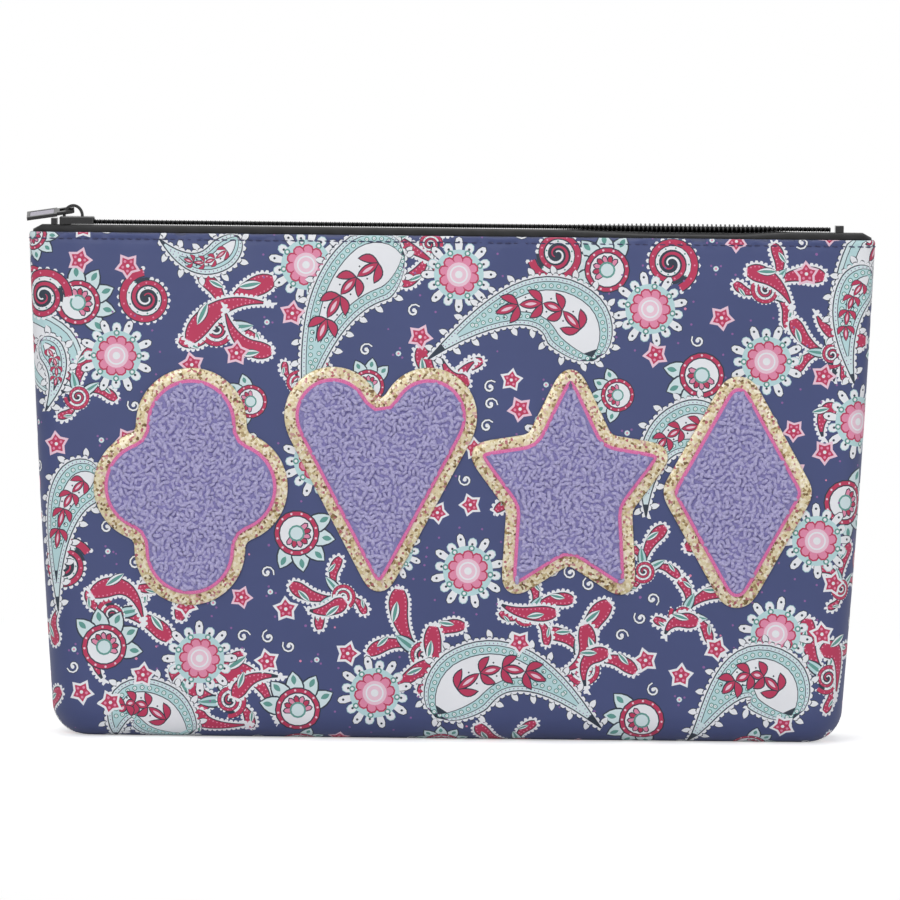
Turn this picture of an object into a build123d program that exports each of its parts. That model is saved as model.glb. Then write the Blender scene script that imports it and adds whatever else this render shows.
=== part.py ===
import math
import os

from build123d import *

# A zip pouch for a set of mahjong tiles: a printed bag with a boxed bottom, a lining,
# a coil zip along the top with a slider and a pull, and four raised chenille patches.
# Millimetres. X runs along the zip, -Y is the front, Z is up, and the origin is the
# middle of the base on the surface that the bag stands on.

# Bag body
top_width = 305.0
base_width = 283.6
panel_height = 181.0
base_depth = 46.0
top_depth = 13.2
side_bow = 0.8
front_bulge = 5.2
swell_lift = 0.75
least_bulge = 0.4
end_bulge = 1.0
base_corner = 7.0
top_corner = 2.6
bottom_edge_radius = 11.0
base_turns = (0.0, math.pi / 4, math.pi / 2)
wall_levels = 4
side_pieces = 8

# Cloth layers, each one counted inwards from the outer face of the print
panel_thickness = 1.0
layer_gap = 0.1
tape_thickness = 0.5
lining_thickness = 0.5
lining_drop = 1.0

# Zip tapes
tape_rise = 2.0
tape_lid_thickness = 0.6
tape_slot_half = 1.2
tape_hem_depth = 9.0
tape_end_margin = 0.6
tape_end_radius = 3.0

# Zip teeth
tooth_pitch = 1.6
tooth_height = 1.9
tooth_outer_reach = 2.5
tooth_head_reach = 0.45
tooth_outer_width = 0.5
tooth_head_width = 0.8

# Slider
slider_length = 12.6
slider_end_margin = 10.9
slider_nose_half = 4.6
slider_tail_half = 3.4
slider_plate_thickness = 0.85
slider_clearance = 0.15
slider_rim = 0.7
slider_nose_flat = 2.0
slider_neck = 7.5
slider_corner_radius = 1.1
slider_edge_chamfer = 0.4
wedge_length = 4.1
wedge_slope = 0.2
wedge_clearance = 0.08

# Bail and pull
bail_length = 7.6
bail_width = 1.6
bail_strap = 1.05
bail_offset = 4.85
pull_axis_shift = 0.35
pull_length = 16.5
pull_width = 7.4
pull_thickness = 1.2
pull_eye_width = 5.2
pull_crossbar = 1.4
pull_slot_reach = 4.6
pull_slot_width = 2.9
pull_eye_reach = 5.5
pull_face_margin = 1.1
pull_face_depth = 0.3
pull_corner_radius = 1.3
pull_droop = 8.5
pull_roll = 15.0
pull_plate_clearance = 0.25

# Stops
stop_length = 2.2
stop_width = 2.2
stop_wall = 0.5
top_stop_gap = 0.8
bottom_stop_length = 3.0
bottom_stop_margin = 11.5

# Patches
patch_gap = 0.1
glitter_thickness = 0.8
glitter_border = 4.0
felt_thickness = 0.7
felt_border = 1.0
pile_height = 3.0
patch_middle_height = 90.5
flower_place = -93.0
heart_place = -25.0
star_place = 43.0
diamond_place = 103.5

# Worked out from the sizes above
tape_level = panel_height + tape_rise
tape_top = tape_level + tape_lid_thickness
teeth_top = tape_top + tooth_height
tape_outer_inset = panel_thickness + layer_gap
tape_inner_inset = tape_outer_inset + tape_thickness
lining_outer_inset = tape_inner_inset + layer_gap
lining_inner_inset = lining_outer_inset + lining_thickness
slider_nose = -top_width / 2 + slider_end_margin
slider_tail = slider_nose + slider_length
wedge_tip = slider_nose + wedge_length
wedge_lead = (tooth_head_reach + wedge_clearance) / wedge_slope
throat = wedge_tip + wedge_lead
bottom_stop_start = top_width / 2 - bottom_stop_margin - bottom_stop_length
far_away = 2 * top_width


def blend(start, end, share):
    """A value part of the way from start to end."""
    return start + (end - start) * share


def outline_points(half_width, half_depth, bulge, corner):
    """The corners of one level's outline: bulged long sides, cut corners, nearly flat ends."""
    reach = half_width - end_bulge - corner
    shares = [2 * number / side_pieces - 1 for number in range(side_pieces + 1)]
    front = [(reach * share, -half_depth - bulge * (1 - share**2)) for share in shares]
    right = [(reach + corner, corner - half_depth), (half_width, 0)]
    front_half = [(-reach - corner, corner - half_depth), *front, *right]
    return front_half + [(-x, -y) for x, y in front_half]


def bag_form(inset, top):
    """The bag's outer form, drawn in by inset all round and cut level at top.

    The lowest levels step in to turn under into the base."""
    radius = bottom_edge_radius - inset
    turn_under = [(radius * (1 - math.sin(turn)), radius * (1 - math.cos(turn))) for turn in base_turns]
    rises = [number / wall_levels for number in range(1, wall_levels + 1)]
    wall = [(0, blend(radius, tape_top - inset, rise)) for rise in rises]
    with BuildPart() as form:
        for drawn_in, lift in turn_under + wall:
            height = inset + lift
            share = height / panel_height
            rise = max(height, 0) / tape_top
            swell = math.sin(math.pi * rise**swell_lift)
            half_width = blend(base_width, top_width, share) / 2 - inset - drawn_in
            half_width += side_bow * math.sin(math.pi * rise)
            half_depth = blend(base_depth, top_depth, share) / 2 - inset - drawn_in
            bulge = least_bulge + front_bulge * swell
            corner = blend(base_corner, top_corner, share)
            with BuildSketch(Plane.XY.offset(height)):
                with BuildLine():
                    Polyline(*outline_points(half_width, half_depth, bulge, corner), close=True)
                make_face()
        loft(ruled=True)
        split(bisect_by=Plane.XY.offset(top), keep=Keep.BOTTOM)
    return form.part


panel_outside = bag_form(0, panel_height)
panel_inside = bag_form(panel_thickness, panel_height)
lining_outside = bag_form(lining_outer_inset, panel_height - lining_drop)
lining_inside = bag_form(lining_inner_inset, panel_height - lining_drop)
tape_outside = bag_form(tape_outer_inset, tape_top)
tape_inside = bag_form(tape_inner_inset, tape_level)

# Printed panels. Each is half the bag, sewn to the other along the sides and the base.
with BuildPart() as front_panel:
    add(panel_outside)
    add(panel_inside, mode=Mode.SUBTRACT)
    split(bisect_by=Plane.XZ, keep=Keep.TOP)
front_panel.part.label = "front_panel"

with BuildPart() as back_panel:
    add(panel_outside)
    add(panel_inside, mode=Mode.SUBTRACT)
    split(bisect_by=Plane.XZ, keep=Keep.BOTTOM)
back_panel.part.label = "back_panel"

# Linings, cut like the panels and hung inside them.
with BuildPart() as front_lining:
    add(lining_outside)
    add(lining_inside, mode=Mode.SUBTRACT)
    split(bisect_by=Plane.XZ, keep=Keep.TOP)
front_lining.part.label = "front_lining"

with BuildPart() as back_lining:
    add(lining_outside)
    add(lining_inside, mode=Mode.SUBTRACT)
    split(bisect_by=Plane.XZ, keep=Keep.BOTTOM)
back_lining.part.label = "back_lining"

# Zip tapes: the hem is sewn in between panel and lining, and the flat strip carries the teeth.
hem_bottom = panel_height - tape_hem_depth
with BuildPart() as tape_blank:
    with BuildSketch(Plane.XZ) as tape_side:
        with Locations((0, hem_bottom)):
            RectangleRounded(
                top_width - 2 * tape_end_margin,
                2 * (tape_top - hem_bottom),
                tape_end_radius,
            )
        with Locations((0, hem_bottom)):
            Rectangle(far_away, far_away, align=(Align.CENTER, Align.MAX), mode=Mode.SUBTRACT)
    extrude(amount=far_away)
    with BuildSketch(Plane.XY) as slot:
        Rectangle(far_away, 2 * tape_slot_half)
    extrude(amount=far_away, mode=Mode.SUBTRACT)

with BuildPart() as front_tape:
    add(tape_outside)
    add(tape_inside, mode=Mode.SUBTRACT)
    add(tape_blank.part, mode=Mode.INTERSECT)
front_tape.part.label = "front_tape"

with BuildPart() as back_tape:
    add(front_tape.part)
    mirror(about=Plane.XZ, mode=Mode.REPLACE)
back_tape.part.label = "back_tape"


def teeth_row(side, first_place):
    """One row of teeth. side is -1 for the front row and 1 for the back row.

    Inside the slider the row stands aside, so that the wedge fits between the rows."""
    count = int((bottom_stop_start - tooth_pitch - first_place) / tooth_pitch)
    across = [
        (tooth_outer_width / 2, side * tooth_outer_reach),
        (tooth_head_width / 2, -side * tooth_head_reach),
    ]
    places = [first_place + number * tooth_pitch for number in range(count)]
    with BuildSketch() as tooth_outline:
        with BuildLine():
            Polyline(*across, *[(-half, reach) for half, reach in reversed(across)], close=True)
        make_face()
    with BuildPart() as row:
        with BuildSketch(Plane.XY.offset(tape_top)):
            with Locations(*[(x, side * max(0, throat - x) * wedge_slope) for x in places]):
                add(tooth_outline.sketch)
        extrude(amount=tooth_height)
    return row.part


first_tooth = slider_nose + tooth_pitch / 2
with BuildPart() as front_teeth:
    add(teeth_row(-1, first_tooth))
front_teeth.part.label = "front_teeth"

with BuildPart() as back_teeth:
    add(teeth_row(1, first_tooth + tooth_pitch / 2))
back_teeth.part.label = "back_teeth"

# Slider: two plates joined by the wedge that parts the teeth, rims that hold the rows in,
# and the bail on top that carries the pull.
top_plate_level = teeth_top + slider_clearance
top_plate_top = top_plate_level + slider_plate_thickness
rim_bottom = tape_top + slider_clearance
bottom_plate_top = tape_level - slider_clearance
bottom_plate_level = bottom_plate_top - slider_plate_thickness
neck = slider_nose + slider_neck
with BuildSketch() as slider_outline:
    with BuildLine():
        Polyline(
            (slider_nose, -slider_nose_half),
            (slider_nose + slider_nose_flat, -slider_nose_half),
            (neck, -slider_tail_half),
            (slider_tail, -slider_tail_half),
            (slider_tail, slider_tail_half),
            (neck, slider_tail_half),
            (slider_nose + slider_nose_flat, slider_nose_half),
            (slider_nose, slider_nose_half),
            close=True,
        )
    make_face()
    fillet(slider_outline.vertices(), radius=slider_corner_radius)

with BuildSketch() as chain_way:
    with BuildLine():
        Polyline(
            (slider_nose - slider_rim, slider_rim - slider_nose_half),
            (slider_nose + slider_nose_flat, slider_rim - slider_nose_half),
            (neck, slider_rim - slider_tail_half),
            (slider_tail + slider_rim, slider_rim - slider_tail_half),
            (slider_tail + slider_rim, slider_tail_half - slider_rim),
            (neck, slider_tail_half - slider_rim),
            (slider_nose + slider_nose_flat, slider_nose_half - slider_rim),
            (slider_nose - slider_rim, slider_nose_half - slider_rim),
            close=True,
        )
    make_face()

# The pull swings about its crossbar, just left of the middle of the bail.
bail_middle = slider_nose + bail_offset
pull_axis_place = bail_middle - pull_axis_shift
droop = math.radians(pull_droop)
roll = math.radians(pull_roll)
crossbar_radius = math.hypot(pull_crossbar, pull_thickness) / 2
eye_low = pull_thickness / 2 / math.cos(droop) + pull_eye_width / 2 * math.tan(roll)
nose_reach = pull_axis_place - slider_nose
pull_axis_height = top_plate_top + pull_plate_clearance + eye_low + nose_reach * math.tan(droop)
bail_inner_top = pull_axis_height + crossbar_radius + slider_clearance
bail_top = bail_inner_top + bail_strap
wedge_nose_half = wedge_length * wedge_slope

with BuildPart() as slider_body:
    with BuildSketch(Plane.XY.offset(top_plate_level)):
        add(slider_outline.sketch)
    extrude(amount=slider_plate_thickness)
    chamfer(slider_body.edges().group_by(Axis.Z)[-1], length=slider_edge_chamfer)
    with BuildSketch(Plane.XY.offset(rim_bottom)):
        add(slider_outline.sketch)
        add(chain_way.sketch, mode=Mode.SUBTRACT)
    extrude(amount=top_plate_level - rim_bottom)
    with BuildSketch(Plane.XY.offset(bottom_plate_level)):
        add(slider_outline.sketch)
    extrude(amount=slider_plate_thickness)
    with BuildSketch(Plane.XY.offset(bottom_plate_top)):
        with BuildLine():
            Polyline(
                (slider_nose, -wedge_nose_half),
                (wedge_tip, 0),
                (slider_nose, wedge_nose_half),
                close=True,
            )
        make_face()
    extrude(amount=top_plate_level - bottom_plate_top)
    with BuildSketch(Plane.XZ.offset(-bail_width / 2)):
        with Locations((bail_middle, top_plate_top)):
            Ellipse(bail_length / 2, bail_top - top_plate_top)
            Ellipse(
                bail_length / 2 - bail_strap,
                bail_inner_top - top_plate_top,
                mode=Mode.SUBTRACT,
            )
        with Locations((bail_middle, top_plate_top - slider_clearance)):
            Rectangle(
                bail_length + bail_strap,
                2 * bail_top,
                align=(Align.CENTER, Align.MAX),
                mode=Mode.SUBTRACT,
            )
    extrude(amount=bail_width)
slider_body.part.label = "slider_body"

# Pull: a crossbar under the bail, a slot round its strap and a framed plate.
pull_plane = Plane(
    origin=(pull_axis_place, 0, pull_axis_height),
    x_dir=(-math.cos(droop), 0, -math.sin(droop)),
    z_dir=(
        -math.sin(droop) * math.cos(roll),
        -math.sin(roll),
        math.cos(droop) * math.cos(roll),
    ),
)
with BuildPart() as pull_tab:
    with BuildSketch(pull_plane.offset(-pull_thickness / 2)) as pull_outline:
        with Locations((-pull_crossbar / 2, 0)):
            Rectangle(
                pull_eye_reach + pull_crossbar / 2 + pull_corner_radius,
                pull_eye_width,
                align=(Align.MIN, Align.CENTER),
            )
        with Locations((pull_eye_reach, 0)):
            Rectangle(
                pull_length - pull_eye_reach,
                pull_width,
                align=(Align.MIN, Align.CENTER),
            )
        fillet(pull_outline.vertices().group_by(Axis.X)[0], radius=pull_corner_radius)
        with Locations((pull_crossbar / 2, 0)):
            Rectangle(
                pull_slot_reach - pull_crossbar / 2,
                pull_slot_width,
                align=(Align.MIN, Align.CENTER),
                mode=Mode.SUBTRACT,
            )
    extrude(amount=pull_thickness)
    with BuildSketch(pull_plane.offset(pull_thickness / 2)):
        with Locations((pull_eye_reach + pull_face_margin, 0)):
            Rectangle(
                pull_length - pull_eye_reach - 2 * pull_face_margin,
                pull_width - 2 * pull_face_margin,
                align=(Align.MIN, Align.CENTER),
            )
    extrude(amount=-pull_face_depth, mode=Mode.SUBTRACT)
pull_tab.part.label = "pull_tab"

# Stops: a clip over each tape's edge ahead of the slider, and one over both tapes at the far end.
stop_low = tape_level - stop_wall
stop_high = tape_top + stop_width
top_stop_end = slider_nose - top_stop_gap
with BuildPart() as front_top_stop:
    with BuildSketch(Plane.YZ.offset(top_stop_end - stop_length)):
        with Locations((stop_wall - tape_slot_half, stop_low)):
            Rectangle(
                stop_width + stop_wall,
                stop_high - stop_low,
                align=(Align.MAX, Align.MIN),
            )
        with Locations((-tape_slot_half, tape_level)):
            Rectangle(
                2 * stop_width,
                tape_lid_thickness,
                align=(Align.MAX, Align.MIN),
                mode=Mode.SUBTRACT,
            )
    extrude(amount=stop_length)
front_top_stop.part.label = "front_top_stop"

with BuildPart() as back_top_stop:
    add(front_top_stop.part)
    mirror(about=Plane.XZ, mode=Mode.REPLACE)
back_top_stop.part.label = "back_top_stop"

with BuildPart() as bottom_stop:
    with BuildSketch(Plane.YZ.offset(bottom_stop_start)):
        with Locations((0, stop_low)):
            Rectangle(
                2 * (tooth_outer_reach + stop_wall),
                teeth_top + stop_wall - stop_low,
                align=(Align.CENTER, Align.MIN),
            )
        for side in (-1, 1):
            with Locations((side * (tape_slot_half + top_depth / 2), tape_level)):
                Rectangle(
                    top_depth,
                    tape_lid_thickness,
                    align=(Align.CENTER, Align.MIN),
                    mode=Mode.SUBTRACT,
                )
    extrude(amount=bottom_stop_length)
bottom_stop.part.label = "bottom_stop"

# Patches: a glitter base, a thin felt edge and a raised pile, laid on the front panel.
# The four shapes are a flower, a heart, a star and a diamond, each about its own middle.
flower_petal_radius = 20.0
flower_side_reach = 15.0
flower_top_reach = 22.5
flower_notch_radius = 3.0
heart_half_width = 32.0
heart_height = 87.0
heart_dip = 14.0
heart_shoulder = 27.0
heart_side_radius = 14.0
heart_tip_radius = 6.0
heart_dip_radius = 3.0
star_half_width = 41.0
star_half_height = 51.0
star_point_count = 5
star_inner_share = 0.56
star_point_radius = 5.6
diamond_half_width = 28.0
diamond_half_height = 50.0
diamond_corner_radius = 8.0

with BuildSketch() as flower:
    with Locations((-flower_side_reach, 0), (flower_side_reach, 0)):
        Circle(flower_petal_radius)
    with Locations((0, -flower_top_reach), (0, flower_top_reach)):
        Circle(flower_petal_radius)
    fillet(flower.vertices(), radius=flower_notch_radius)

shoulder_height = heart_height / 2 - heart_shoulder
heart_middle_height = heart_height / 2 - heart_dip
with BuildSketch() as heart:
    with BuildLine():
        for side in (-1, 1):
            ThreePointArc(
                (0, heart_middle_height),
                (side * heart_half_width / 2, heart_height / 2),
                (side * heart_half_width, shoulder_height),
            )
            Line((side * heart_half_width, shoulder_height), (0, -heart_height / 2))
    make_face()
    fillet(heart.vertices().group_by(Axis.X)[0], radius=heart_side_radius)
    fillet(heart.vertices().group_by(Axis.X)[-1], radius=heart_side_radius)
    fillet(heart.vertices().sort_by(Axis.Y)[0], radius=heart_tip_radius)
    dip_corner = heart.vertices().sort_by_distance((0, heart_middle_height))[0]
    fillet(dip_corner, radius=heart_dip_radius)

star_corners = []
for number in range(2 * star_point_count):
    turn = math.pi / 2 + number * math.pi / star_point_count
    share = 1 if number % 2 == 0 else star_inner_share
    across = share * star_half_width * math.cos(turn)
    up = share * star_half_height * math.sin(turn)
    star_corners.append((across, up))
with BuildSketch() as star:
    with BuildLine():
        Polyline(*star_corners, close=True)
    make_face()
    fillet(star.vertices(), radius=star_point_radius)

with BuildSketch() as diamond:
    with BuildLine():
        Polyline(
            (diamond_half_width, 0),
            (0, diamond_half_height),
            (-diamond_half_width, 0),
            (0, -diamond_half_height),
            close=True,
        )
    make_face()
    fillet(diamond.vertices(), radius=diamond_corner_radius)


glitter_level = patch_gap
felt_level = glitter_level + glitter_thickness
pile_level = felt_level + felt_thickness
glitter_under = bag_form(-glitter_level, panel_height)
felt_under = bag_form(-felt_level, panel_height)
pile_under = bag_form(-pile_level, panel_height)
pile_outside = bag_form(-pile_level - pile_height, panel_height)

pieces = [
    front_panel.part,
    back_panel.part,
    front_lining.part,
    back_lining.part,
    front_tape.part,
    back_tape.part,
    front_teeth.part,
    back_teeth.part,
    front_top_stop.part,
    back_top_stop.part,
    bottom_stop.part,
    slider_body.part,
    pull_tab.part,
]

patch_shapes = [
    ("flower", flower, flower_place),
    ("heart", heart, heart_place),
    ("star", star, star_place),
    ("diamond", diamond, diamond_place),
]
patch_layers = [
    ("glitter", glitter_under, felt_under, 0),
    ("felt", felt_under, pile_under, glitter_border),
    ("pile", pile_under, pile_outside, glitter_border + felt_border),
]
for shape_name, shape, place in patch_shapes:
    for layer_name, under, outside, border in patch_layers:
        with BuildPart() as layer:
            with BuildSketch(Plane.XZ):
                with Locations((place, patch_middle_height)):
                    add(shape.sketch)
                if border:
                    offset(amount=-border, kind=Kind.INTERSECTION, mode=Mode.REPLACE)
            extrude(amount=base_depth)
            add(outside, mode=Mode.INTERSECT)
            add(under, mode=Mode.SUBTRACT)
        layer.part.label = f"{shape_name}_{layer_name}"
        pieces.append(layer.part)

os.makedirs("parts", exist_ok=True)
for piece in pieces:
    export_step(piece, f"parts/{piece.label}.step")
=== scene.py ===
import cmath
import math
import random

import bmesh
import bpy
from mathutils import Matrix, Vector
from mathutils.geometry import delaunay_2d_cdt


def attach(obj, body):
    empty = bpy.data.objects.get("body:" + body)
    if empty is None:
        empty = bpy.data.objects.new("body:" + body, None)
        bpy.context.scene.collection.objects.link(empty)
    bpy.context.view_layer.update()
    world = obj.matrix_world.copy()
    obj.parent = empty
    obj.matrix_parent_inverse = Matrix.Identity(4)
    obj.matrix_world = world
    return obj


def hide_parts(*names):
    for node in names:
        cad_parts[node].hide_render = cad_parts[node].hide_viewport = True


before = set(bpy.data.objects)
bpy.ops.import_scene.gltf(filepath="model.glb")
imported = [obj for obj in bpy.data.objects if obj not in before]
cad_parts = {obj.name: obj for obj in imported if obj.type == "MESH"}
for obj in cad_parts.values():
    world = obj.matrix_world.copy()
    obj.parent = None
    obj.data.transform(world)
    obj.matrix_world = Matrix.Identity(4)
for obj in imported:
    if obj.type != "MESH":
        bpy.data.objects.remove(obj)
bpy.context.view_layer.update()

# The pouch's own sizes in millimetres, as the CAD gives them.
MM = 0.001
TOP_WIDTH = 305.0
BASE_WIDTH = 283.6
PANEL_HEIGHT = 181.0
BASE_DEPTH = 46.0
TOP_DEPTH = 13.2
SIDE_BOW = 0.8
LEAST_BULGE = 0.4
FRONT_BULGE = 5.2
SWELL_LIFT = 0.75
TAPE_TOP = 183.6
CHAIN_LEVEL = 184.0
TURN_RADIUS = 11.0
BASE_CORNER = 15.0
TOP_CORNER = 4.8
HEM_RADIUS = 1.0
STITCH_LEVEL = 178.7

# Lengths up the cloth, counted from the seam in the middle of the base.
BASE_REACH = BASE_DEPTH / 2 - TURN_RADIUS
TURN_END = BASE_REACH + TURN_RADIUS * math.pi / 2
WALL_SHIFT = TURN_END - TURN_RADIUS
HEM_START = PANEL_HEIGHT - HEM_RADIUS + WALL_SHIFT
CLOTH_END = HEM_START + HEM_RADIUS * math.pi / 2


def linear(code):
    """An sRGB hex colour as a linear colour with an alpha of 1."""
    values = [int(code[place:place + 2], 16) / 255 for place in (1, 3, 5)]
    return [v / 12.92 if v <= 0.04045 else ((v + 0.055) / 1.055) ** 2.4 for v in values] + [1.0]


def mix(start, end, share):
    return start + (end - start) * share


# ---------------------------------------------------------------- the bag's form

def level(along, out):
    """Height, half width, half depth, bulge and corner radius at a length up the cloth.

    out is how far outside the cloth's face the surface lies."""
    radius = TURN_RADIUS + out
    shrink = 0.0
    if along < BASE_REACH:
        height = -out
        inset = TURN_RADIUS
        shrink = BASE_REACH - along
    elif along < TURN_END:
        turn = (along - BASE_REACH) / TURN_RADIUS
        height = TURN_RADIUS - radius * math.cos(turn)
        inset = TURN_RADIUS - radius * math.sin(turn)
    elif along < HEM_START:
        height = along - WALL_SHIFT
        inset = -out
    else:
        turn = min((along - HEM_START) / HEM_RADIUS, math.pi / 2)
        hem = HEM_RADIUS + out
        height = PANEL_HEIGHT - HEM_RADIUS + hem * math.sin(turn)
        inset = HEM_RADIUS - hem * math.cos(turn)
    share = height / PANEL_HEIGHT
    rise = min(max(height / TAPE_TOP, 0), 1)
    half_width = mix(BASE_WIDTH, TOP_WIDTH, share) / 2 - inset - shrink
    half_width += SIDE_BOW * math.sin(math.pi * rise)
    half_depth = mix(BASE_DEPTH, TOP_DEPTH, share) / 2 - inset - shrink
    bulge = LEAST_BULGE + FRONT_BULGE * math.sin(math.pi * rise**SWELL_LIFT)
    if shrink:
        bulge *= along / BASE_REACH
    corner = max(mix(BASE_CORNER, TOP_CORNER, share) - max(inset, 0) - shrink, 0.3)
    return height, half_width, max(half_depth, 0.0), bulge, min(corner, max(half_depth, 0.3))


def half_girth(along, out=0.0):
    """Length from the middle of the front round to the side seam."""
    _, half_width, half_depth, _, corner = level(along, out)
    return half_width - corner + corner * math.pi / 2 + max(half_depth - corner, 0)


def creases(across, along):
    """How far the cloth stands out: the seam's groove and puckers, and soft folds lower down."""
    height = along - WALL_SHIFT
    drop = STITCH_LEVEL - height
    groove = -0.4 * math.exp(-(drop / 0.7) ** 2)
    pucker = 0.32 * math.sin(across / 2.9 + 1.3 * math.sin(across / 23)) * math.exp(-abs(drop) / 7)
    ends = max(0.0, abs(across) - 95) / 50
    folds = 0.5 * ends * math.sin(height / 11 + across / 17 + 0.8 * math.sin(across / 9))
    swell = 0.35 * math.sin(across / 31 + 1.1) * math.sin(height / 37 + 0.4)
    fade = min(1.0, max(0.0, height / 30))
    return groove + pucker + (folds * 0.6 + swell) * fade * min(1.0, max(0.0, drop / 12))


def place(across, along, out, side):
    """A point of the bag, in metres, from a length across and a length up the cloth.

    side is -1 for the front and 1 for the back."""
    height, half_width, half_depth, bulge, corner = level(along, out)
    flat = half_width - corner
    reach = abs(across)
    if reach <= flat:
        x = reach
        y = half_depth + bulge * (1 - (reach / max(flat, 1)) ** 2)
        y += creases(across * -side, along) * min(1.0, (flat - reach) / 12)
    elif reach <= flat + corner * math.pi / 2:
        turn = (reach - flat) / corner
        x = flat + corner * math.sin(turn)
        y = half_depth - corner + corner * math.cos(turn)
    else:
        x = half_width
        y = max(half_depth - corner - (reach - flat - corner * math.pi / 2), 0)
    return Vector((math.copysign(x, across), side * y, height)) * MM


# ---------------------------------------------------------------- materials

WAVES = 20  # waves that a wave texture draws in one unit at a scale of 1

def node(tree, kind, settings=None, links=None, stops=()):
    """Adds a node, sets its settings and input values, links its inputs and sets a ramp's stops."""
    made = tree.nodes.new(kind)
    for name, value in (settings or {}).items():
        if hasattr(made, name):
            setattr(made, name, value)
        else:
            made.inputs[name].default_value = value
    for name, source in (links or {}).items():
        tree.links.new(source, made.inputs[name])
    for _ in stops[2:]:
        made.color_ramp.elements.new(0.5)
    for number, (position, code) in enumerate(stops):
        made.color_ramp.elements[number].position = position
        made.color_ramp.elements[number].color = linear(code)
    return made


def finish_of(name, **values):
    """A new material with a Principled shader: (material, node tree, shader)."""
    material = bpy.data.materials.new(name)
    material.use_nodes = True
    tree = material.node_tree
    shader = tree.nodes["Principled BSDF"]
    for key, value in values.items():
        shader.inputs[key.replace("_", " ")].default_value = value
    return material, tree, shader


def surfaced(tree, shader, height, strength, depth, tone=None, stops=()):
    """Gives the shader relief from height, depth in millimetres, and a colour for each tone."""
    settings = {"Strength": strength, "Distance": depth * MM}
    relief = node(tree, "ShaderNodeBump", settings, {"Height": height})
    tree.links.new(relief.outputs["Normal"], shader.inputs["Normal"])
    if stops:
        ramp = node(tree, "ShaderNodeValToRGB", {}, {"Fac": tone}, stops)
        tree.links.new(ramp.outputs["Color"], shader.inputs["Base Color"])


def noisy(name, grain, texture, stops, strength, depth, **values):
    """A material whose colour and relief come from one noise, with its grain in millimetres."""
    material, tree, shader = finish_of(name, **values)
    own = node(tree, "ShaderNodeTexCoord").outputs["Object"]
    noise = node(tree, "ShaderNodeTexNoise", {"Scale": 1 / (grain * MM), **texture}, {"Vector": own})
    surfaced(tree, shader, noise.outputs["Fac"], strength, depth, noise.outputs["Fac"], stops)
    return material


def printed_canvas():
    """Plain woven polyester, printed and lightly coated: a smooth satin face with a fine weave.

    Threads are 0.4 mm apart on the real cloth and are drawn 0.9 mm apart, so that they show."""
    material, tree, shader = finish_of("printed_canvas", Roughness=0.5, Sheen_Weight=0.12)
    ink = node(tree, "ShaderNodeVertexColor", {"layer_name": "print"}).outputs["Color"]
    flat = node(tree, "ShaderNodeUVMap", {"uv_map": "Cloth"}).outputs["UV"]
    mottle = node(tree, "ShaderNodeTexNoise", {"Scale": 40.0, "Detail": 3.0}, {"Vector": flat})
    shade = node(tree, "ShaderNodeMapRange", {"To Min": 0.9, "To Max": 1.1}, {"Value": mottle.outputs["Fac"]})
    tone = node(tree, "ShaderNodeHueSaturation", {}, {"Color": ink, "Value": shade.outputs["Result"]})
    tree.links.new(tone.outputs["Color"], shader.inputs["Base Color"])
    threads = []
    for direction in ("X", "Y"):
        settings = {"bands_direction": direction, "Scale": 1 / (0.9 * MM) / WAVES}
        settings |= {"Distortion": 0.6, "Detail": 1.0}
        threads.append(node(tree, "ShaderNodeTexWave", settings, {"Vector": flat}).outputs["Fac"])
    weave = node(tree, "ShaderNodeMath", {"operation": "MULTIPLY"}, {0: threads[0], 1: threads[1]})
    surfaced(tree, shader, weave.outputs[0], 0.25, 0.12)
    return material


def woven(name, code, lighter, roughness, thread, strength=0.5):
    """A woven or felted cloth in one colour, with its threads at their spacing in millimetres."""
    texture = {"Detail": 3.0, "Roughness": 0.6}
    stops = [(0.3, code), (0.7, lighter)]
    return noisy(name, thread, texture, stops, strength, thread * 0.4, Roughness=roughness, Sheen_Weight=0.25)


def zip_webbing():
    """Herringbone polyester zip tape: matt black with slanting ribs 1.1 mm apart."""
    material, tree, shader = finish_of("zip_webbing", Roughness=0.72, Sheen_Weight=0.2)
    own = node(tree, "ShaderNodeTexCoord").outputs["Object"]
    turned = node(tree, "ShaderNodeMapping", {"Rotation": (0.0, math.radians(38), 0.0)}, {"Vector": own})
    settings = {"bands_direction": "X", "Scale": 1 / (1.1 * MM) / WAVES, "Distortion": 1.5, "Detail": 1.0}
    ribs = node(tree, "ShaderNodeTexWave", settings, {"Vector": turned.outputs["Vector"]}).outputs["Fac"]
    surfaced(tree, shader, ribs, 0.6, 0.2, ribs, [(0.2, "#050507"), (0.9, "#131316")])
    return material


def enamelled(name, code, worn, roughness):
    """Black enamel over cast zinc: glossy, with small scuffs that show paler. Given a pale grey, it paints the
    reflection on the pull's recessed face.
    """
    texture = {"Detail": 5.0, "Roughness": 0.7}
    gloss = {"Roughness": roughness, "Coat_Weight": 0.4, "Coat_Roughness": 0.12}
    return noisy(name, 1.3, texture, [(0.55, code), (0.8, worn)], 0.15, 0.06, **gloss)


def glitter_cloth():
    """Gold glitter cloth: coarse flakes about 0.85 mm wide, each at its own tilt and shade,
    most of them pale gold, some brown and a few red."""
    material, tree, shader = finish_of("glitter_cloth", Roughness=0.35, Metallic=0.25)
    own = node(tree, "ShaderNodeTexCoord").outputs["Object"]
    flakes = node(tree, "ShaderNodeTexVoronoi", {"Scale": 1 / (0.85 * MM), "Randomness": 1.0}, {"Vector": own})
    split = node(tree, "ShaderNodeSeparateColor", {}, {"Color": flakes.outputs["Color"]})
    stops = [(0.0, "#634a2a"), (0.09, "#9a7f52"), (0.2, "#d6c495")]
    stops += [(0.5, "#e9ddb8"), (0.84, "#f8f1dc"), (0.96, "#b4626c")]
    surfaced(tree, shader, split.outputs["Green"], 0.9, 0.5, split.outputs["Red"], stops)
    return material


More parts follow.
